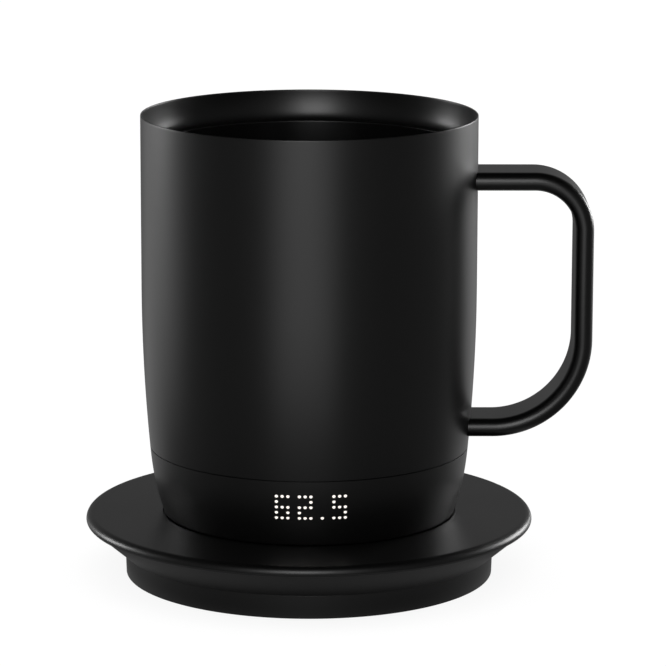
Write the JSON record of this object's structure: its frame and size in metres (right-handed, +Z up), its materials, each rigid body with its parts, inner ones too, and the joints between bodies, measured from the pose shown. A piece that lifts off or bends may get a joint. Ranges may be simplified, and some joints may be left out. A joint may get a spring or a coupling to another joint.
{
  "type": "self heating mug",
  "caption": "Black double-wall mug with a strap handle and a dot display in its lower band, standing on a round charging coaster with sprung contacts.",
  "frame": {"origin": "on the mug's axis, at the bottom face of the coaster's foot pad", "axes": "+Z up along the mug's axis, +X towards the handle, -Y towards the display"},
  "size_m": [0.1301, 0.1154, 0.1195],
  "materials": {
    "black_coat": "satin black powder coat",
    "black_plastic": "fine satin black, matched to the coated shell",
    "inner_coat": "smooth dark inner coating",
    "rubber": "matt",
    "white_foam": "soft open foam",
    "frame_plastic": "moulded",
    "steel": "plain",
    "nickel": "plated",
    "gold": "plated",
    "aluminium": "rolled",
    "film": "amber film",
    "sleeve": "shrunk sleeve",
    "board": "solder mask",
    "chip": "moulded",
    "lens": "milky",
    "wire_red": "insulated",
    "wire_black": "insulated"
  },
  "bodies": {
    "coaster": {"centre_barrel": "nickel", "centre_pin_spring": "steel", "charging_board": "board", "charging_board_screw_1": "steel", "charging_board_screw_2": "steel", "charging_chip": "chip", "charging_inlet": "steel", "coaster_base": "black_plastic", "coaster_foot_pad": "rubber", "coaster_screw_1": "steel", "coaster_screw_2": "steel", "coaster_screw_3": "steel", "coaster_top": "black_plastic", "inlet_tongue": "chip", "ring_barrel": "nickel", "ring_pin_spring": "steel"},
    "mug": {"base_housing": "black_plastic", "battery_cell_back": "sleeve", "battery_cell_front": "sleeve", "battery_strap": "steel", "battery_tray": "frame_plastic", "bottom_cover": "black_plastic", "cell_link_left": "nickel", "cell_link_right": "nickel", "contact_centre": "gold", "contact_ring": "gold", "control_board": "board", "cover_screw_1": "steel", "cover_screw_2": "steel", "cover_screw_3": "steel", "cover_screw_4": "steel", "display_flex": "film", "handle": "black_coat", "handle_saddle_lower": "steel", "handle_saddle_upper": "steel", "handle_screw_lower_1": "steel", "handle_screw_lower_2": "steel", "handle_screw_upper_1": "steel", "handle_screw_upper_2": "steel", "heat_clamp": "aluminium", "heater_film": "film", "heater_lead_left": "wire_red", "heater_lead_right": "wire_black", "insulation_pad": "white_foam", "led_array": "chip", "led_board": "board", "light_guide": "lens", "liner": "inner_coat", "main_chip": "chip", "mug_foot_ring": "rubber", "outer_shell": "black_coat", "power_chip": "chip", "power_switch": "chip", "seal_ring": "rubber", "temperature_sensor": "chip"},
    "power_button": {"power_button": "black_plastic"},
    "centre_pin": {"centre_pin": "gold"},
    "ring_pin": {"ring_pin": "gold"}
  },
  "joints": [
    {"name": "mug_lift", "type": "slide", "parent": "coaster", "child": "mug", "axis": [0, 0, 1], "range_m": [0, 0.12]},
    {"name": "button_press", "type": "slide", "parent": "mug", "child": "power_button", "axis": [0, 0, 1], "range_m": [0, 0.00025], "stiffness_N_per_m": 1000, "springref_m": -0.0004},
    {"name": "centre_pin_press", "type": "slide", "parent": "coaster", "child": "centre_pin", "axis": [0, 0, -1], "range_m": [0, 0.0008], "stiffness_N_per_m": 600, "springref_m": -0.0005, "deforming": ["centre_pin_spring"]},
    {"name": "ring_pin_press", "type": "slide", "parent": "coaster", "child": "ring_pin", "axis": [0, 0, -1], "range_m": [0, 0.0008], "stiffness_N_per_m": 600, "springref_m": -0.0005, "deforming": ["ring_pin_spring"]}
  ]
}
